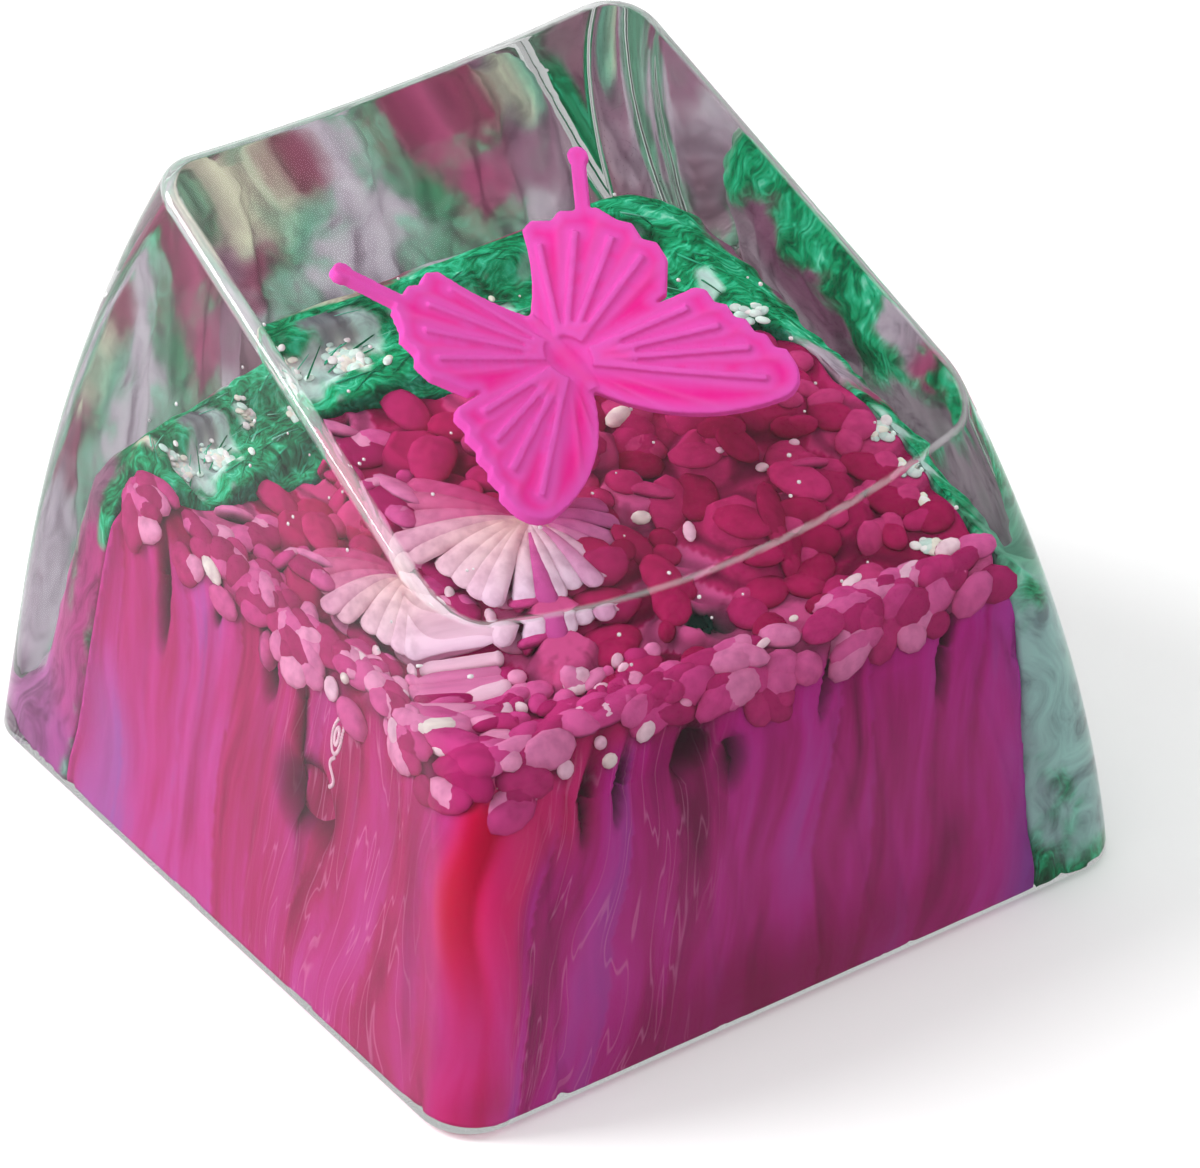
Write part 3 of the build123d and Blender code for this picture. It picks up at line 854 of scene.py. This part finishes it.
def pink_finish():
    """Hot pink plastic, lilac where it is thin at the margins, with a painted highlight along the raised
    veins.
    """
    material, shader = new_material("pink_plastic")
    place = places_in_mm(material)
    cloud = add_noise(material, place, 0.9, 4.0)
    body = add_ramp(material, cloud, [(0.3, "FF189C"), (0.55, "FF22A6"), (0.8, "FF38B4")])
    # Painted highlight: the raised veins turn paler pink.
    ridge_highlight = add_math(material, "MULTIPLY", add_attribute(material, "ridge_highlight"), 0.45)
    body = add_mix(material, ridge_highlight, body, srgb("FF6CCB"))
    margin = add_math(material, "MULTIPLY", add_attribute(material, "margin"), 0.6)
    body = add_mix(material, margin, body, srgb("F26EDA"))
    link(material, body, shader, "Base Color")
    link(material, add_range(material, cloud, 0.3, 0.7, 0.38, 0.5), shader, "Roughness")
    shader.inputs["Specular IOR Level"].default_value = 0.0
    return material


fly_shape = even_grain(node_copy("butterfly"), fly_voxel, 1)
sculpt_wings(fly_shape)
add_piece("butterfly_charm", fly_shape, pink_finish(), "pink_plastic", "butterfly")

# Bubbles
# Pin-head bubbles of air that stayed in the resin as it set. They hang just over the pigment, made as white
# specks, a painted glint for the light they catch.
bubble_count = 70
bubble_reach = ((-6.4, 6.4), (-6.4, 6.0), (8.4, 9.6))  # across, back, height
bubble_sizes = (0.025, 0.06)
bubble_shape = bmesh.new()
bubble_paint = bubble_shape.verts.layers.float_color.new("paint")
for _ in range(bubble_count):
    spot = Vector([draw.uniform(*reach) for reach in bubble_reach]) * mm
    size = draw.uniform(*bubble_sizes) * mm
    stand = Matrix.Translation(spot)
    made = bmesh.ops.create_icosphere(bubble_shape, subdivisions=1, radius=size, matrix=stand)
    for vert in made["verts"]:
        # Painted glint: each bubble is plain white.
        vert[bubble_paint] = srgb("FFFFFF")
add_piece("resin_bubbles", bubble_shape, painted_finish("bubble_glint"), "clear_resin")

# Clear cap
# The body of the keycap, cast in clear resin round all the rest and polished. Its inside walls
# against the pigment are the pigment's own surfaces, so only its outer skin is kept.
wall_tolerance = 0.04  # most that a facet lies off the true wall
same_way = 0.88  # and least that it faces the same way


def polish(mesh):
    """Corner normals taken from the true walls, so that no facet shows, and the rim marked for its painted
    highlight.
    """
    rim_highlight = mesh.attributes.new("rim_highlight", "FLOAT", "POINT")
    truths = [true_outside(vert.co / mm) for vert in mesh.vertices]
    normals = [corner.vector.copy() for corner in mesh.corner_normals]
    for face in mesh.polygons:
        for corner, index in zip(face.loop_indices, face.vertices):
            over, way, _ = truths[index]
            if abs(over) < wall_tolerance and way.dot(face.normal) > same_way:
                normals[corner] = way
    for index, (over, _, share) in enumerate(truths):
        rim_highlight.data[index].value = share if abs(over) < wall_tolerance else 0.0
    mesh.normals_split_custom_set(normals)


def outer_skin(shape):
    """The part of a merged mesh that holds its lowest point, without the sealed spaces in it."""
    start = min(shape.verts, key=lambda vert: vert.co.z)
    kept = {start}
    front = [start]
    while front:
        vert = front.pop()
        for edge in vert.link_edges:
            other = edge.other_vert(vert)
            if other not in kept:
                kept.add(other)
                front.append(other)
    bmesh.ops.delete(shape, geom=[vert for vert in shape.verts if vert not in kept], context="VERTS")
    return shape


def clear_finish():
    """Polished clear resin with a faint unevenness from the hand polish, and a painted white highlight on the
    rim.
    """
    material, shader = new_material("clear_resin")
    place = places_in_mm(material)
    wave = add_noise(material, place, 0.35, 2.0)
    link(material, add_range(material, wave, 0.35, 0.7, 0.0, 0.004), shader, "Roughness")
    bump = add_node(material, "ShaderNodeBump", {"Height": wave, "Strength": 0.04, "Distance": 0.3 * mm})
    link(material, bump.outputs[0], shader, "Normal")
    # Painted highlight on the rim fillet: part of it turns to the white base colour below, and it reflects in
    # full.
    rim_highlight = add_attribute(material, "rim_highlight")
    link(material, add_range(material, rim_highlight, 0.0, 1.0, 1.0, 0.78), shader, "Transmission Weight")
    link(material, add_range(material, rim_highlight, 0.0, 1.0, 0.3, 1.0), shader, "Specular Tint")
    shader.inputs["Base Color"].default_value = srgb("FCFEFE")
    shader.inputs["IOR"].default_value = 1.48
    return material


cap_shape = outer_skin(node_copy("clear_cap"))
cap = add_piece("clear_body", cap_shape, clear_finish(), "clear_resin", "clear_cap")
cap.data.set_sharp_from_angle(angle=radians(35))
polish(cap.data)

# Floor, light and camera
# A white table with a soft light from the upper left, seen as in the photograph.
table_glow = 0.2
room_light = 0.85
key_place = (-0.17, 0.15, 0.17)
key_aim = Vector((0, 0, 0.006))


def add_seen(material):
    """One for the rays that show the background: straight ones, through glass and off gloss."""
    rays = add_node(material, "ShaderNodeLightPath").outputs
    seen = add_math(material, "MAXIMUM", rays["Is Camera Ray"], rays["Is Transmission Ray"])
    return add_math(material, "MAXIMUM", seen, rays["Is Glossy Ray"])


floor_shape = bmesh.new()
bmesh.ops.create_grid(floor_shape, x_segments=1, y_segments=1, size=1.5)
floor_mesh = bpy.data.meshes.new("floor")
floor_shape.to_mesh(floor_mesh)
floor_shape.free()
floor = bpy.data.objects.new("floor", floor_mesh)
bpy.context.scene.collection.objects.link(floor)
floor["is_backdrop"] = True
floor_material, floor_shader = new_material("white_table")
floor_shader.inputs["Base Color"].default_value = (0.8, 0.8, 0.8, 1.0)
floor_shader.inputs["Roughness"].default_value = 0.9
floor_shader.inputs["Specular IOR Level"].default_value = 0.0
floor_shader.inputs["Emission Color"].default_value = (1.0, 1.0, 1.0, 1.0)
glow = add_math(floor_material, "MULTIPLY", add_seen(floor_material), table_glow)
link(floor_material, glow, floor_shader, "Emission Strength")
floor_mesh.materials.append(floor_material)

world = bpy.data.worlds.new("white_room")
world.use_nodes = True
bpy.context.scene.world = world
background = world.node_tree.nodes["Background"]
background.inputs["Color"].default_value = (1.0, 1.0, 1.0, 1.0)
strength = add_range(world, add_seen(world), 0.0, 1.0, room_light, 1.0)
world.node_tree.links.new(strength, background.inputs["Strength"])

key_light = bpy.data.lights.new("soft_key", "AREA")
key_light.shape = "DISK"
key_light.size = 0.16
key_light.energy = 1.0
key = bpy.data.objects.new("soft_key", key_light)
key.location = key_place
key.rotation_mode = "QUATERNION"
key.rotation_quaternion = (key_aim - key.location).to_track_quat("-Z", "Y")
bpy.context.scene.collection.objects.link(key)

view_azimuth = radians(-37.1385)
view_height = radians(37.0417)
view_roll = radians(2.0342)
view_distance = 217.2327 * mm
aim = Vector((0.6141, -0.6896, 5.7594)) * mm
back = Vector((sin(view_azimuth) * cos(view_height), -cos(view_azimuth) * cos(view_height), sin(view_height)))
camera_data = bpy.data.cameras.new("camera")
camera_data.sensor_width = 36.0
camera_data.lens = 299.88
camera_data.clip_start = 0.01
camera = bpy.data.objects.new("camera", camera_data)
camera.location = aim + back * view_distance
camera.rotation_mode = "QUATERNION"
camera.rotation_quaternion = (-back).to_track_quat("-Z", "Y") @ Quaternion((0, 0, 1), view_roll)
bpy.context.scene.collection.objects.link(camera)
bpy.context.scene.camera = camera

scene = bpy.context.scene
scene.view_settings.view_transform = "Standard"
sizes = {"cad": [list(corner) for corner in cad_box], "visual": [list(corner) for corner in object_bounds()]}
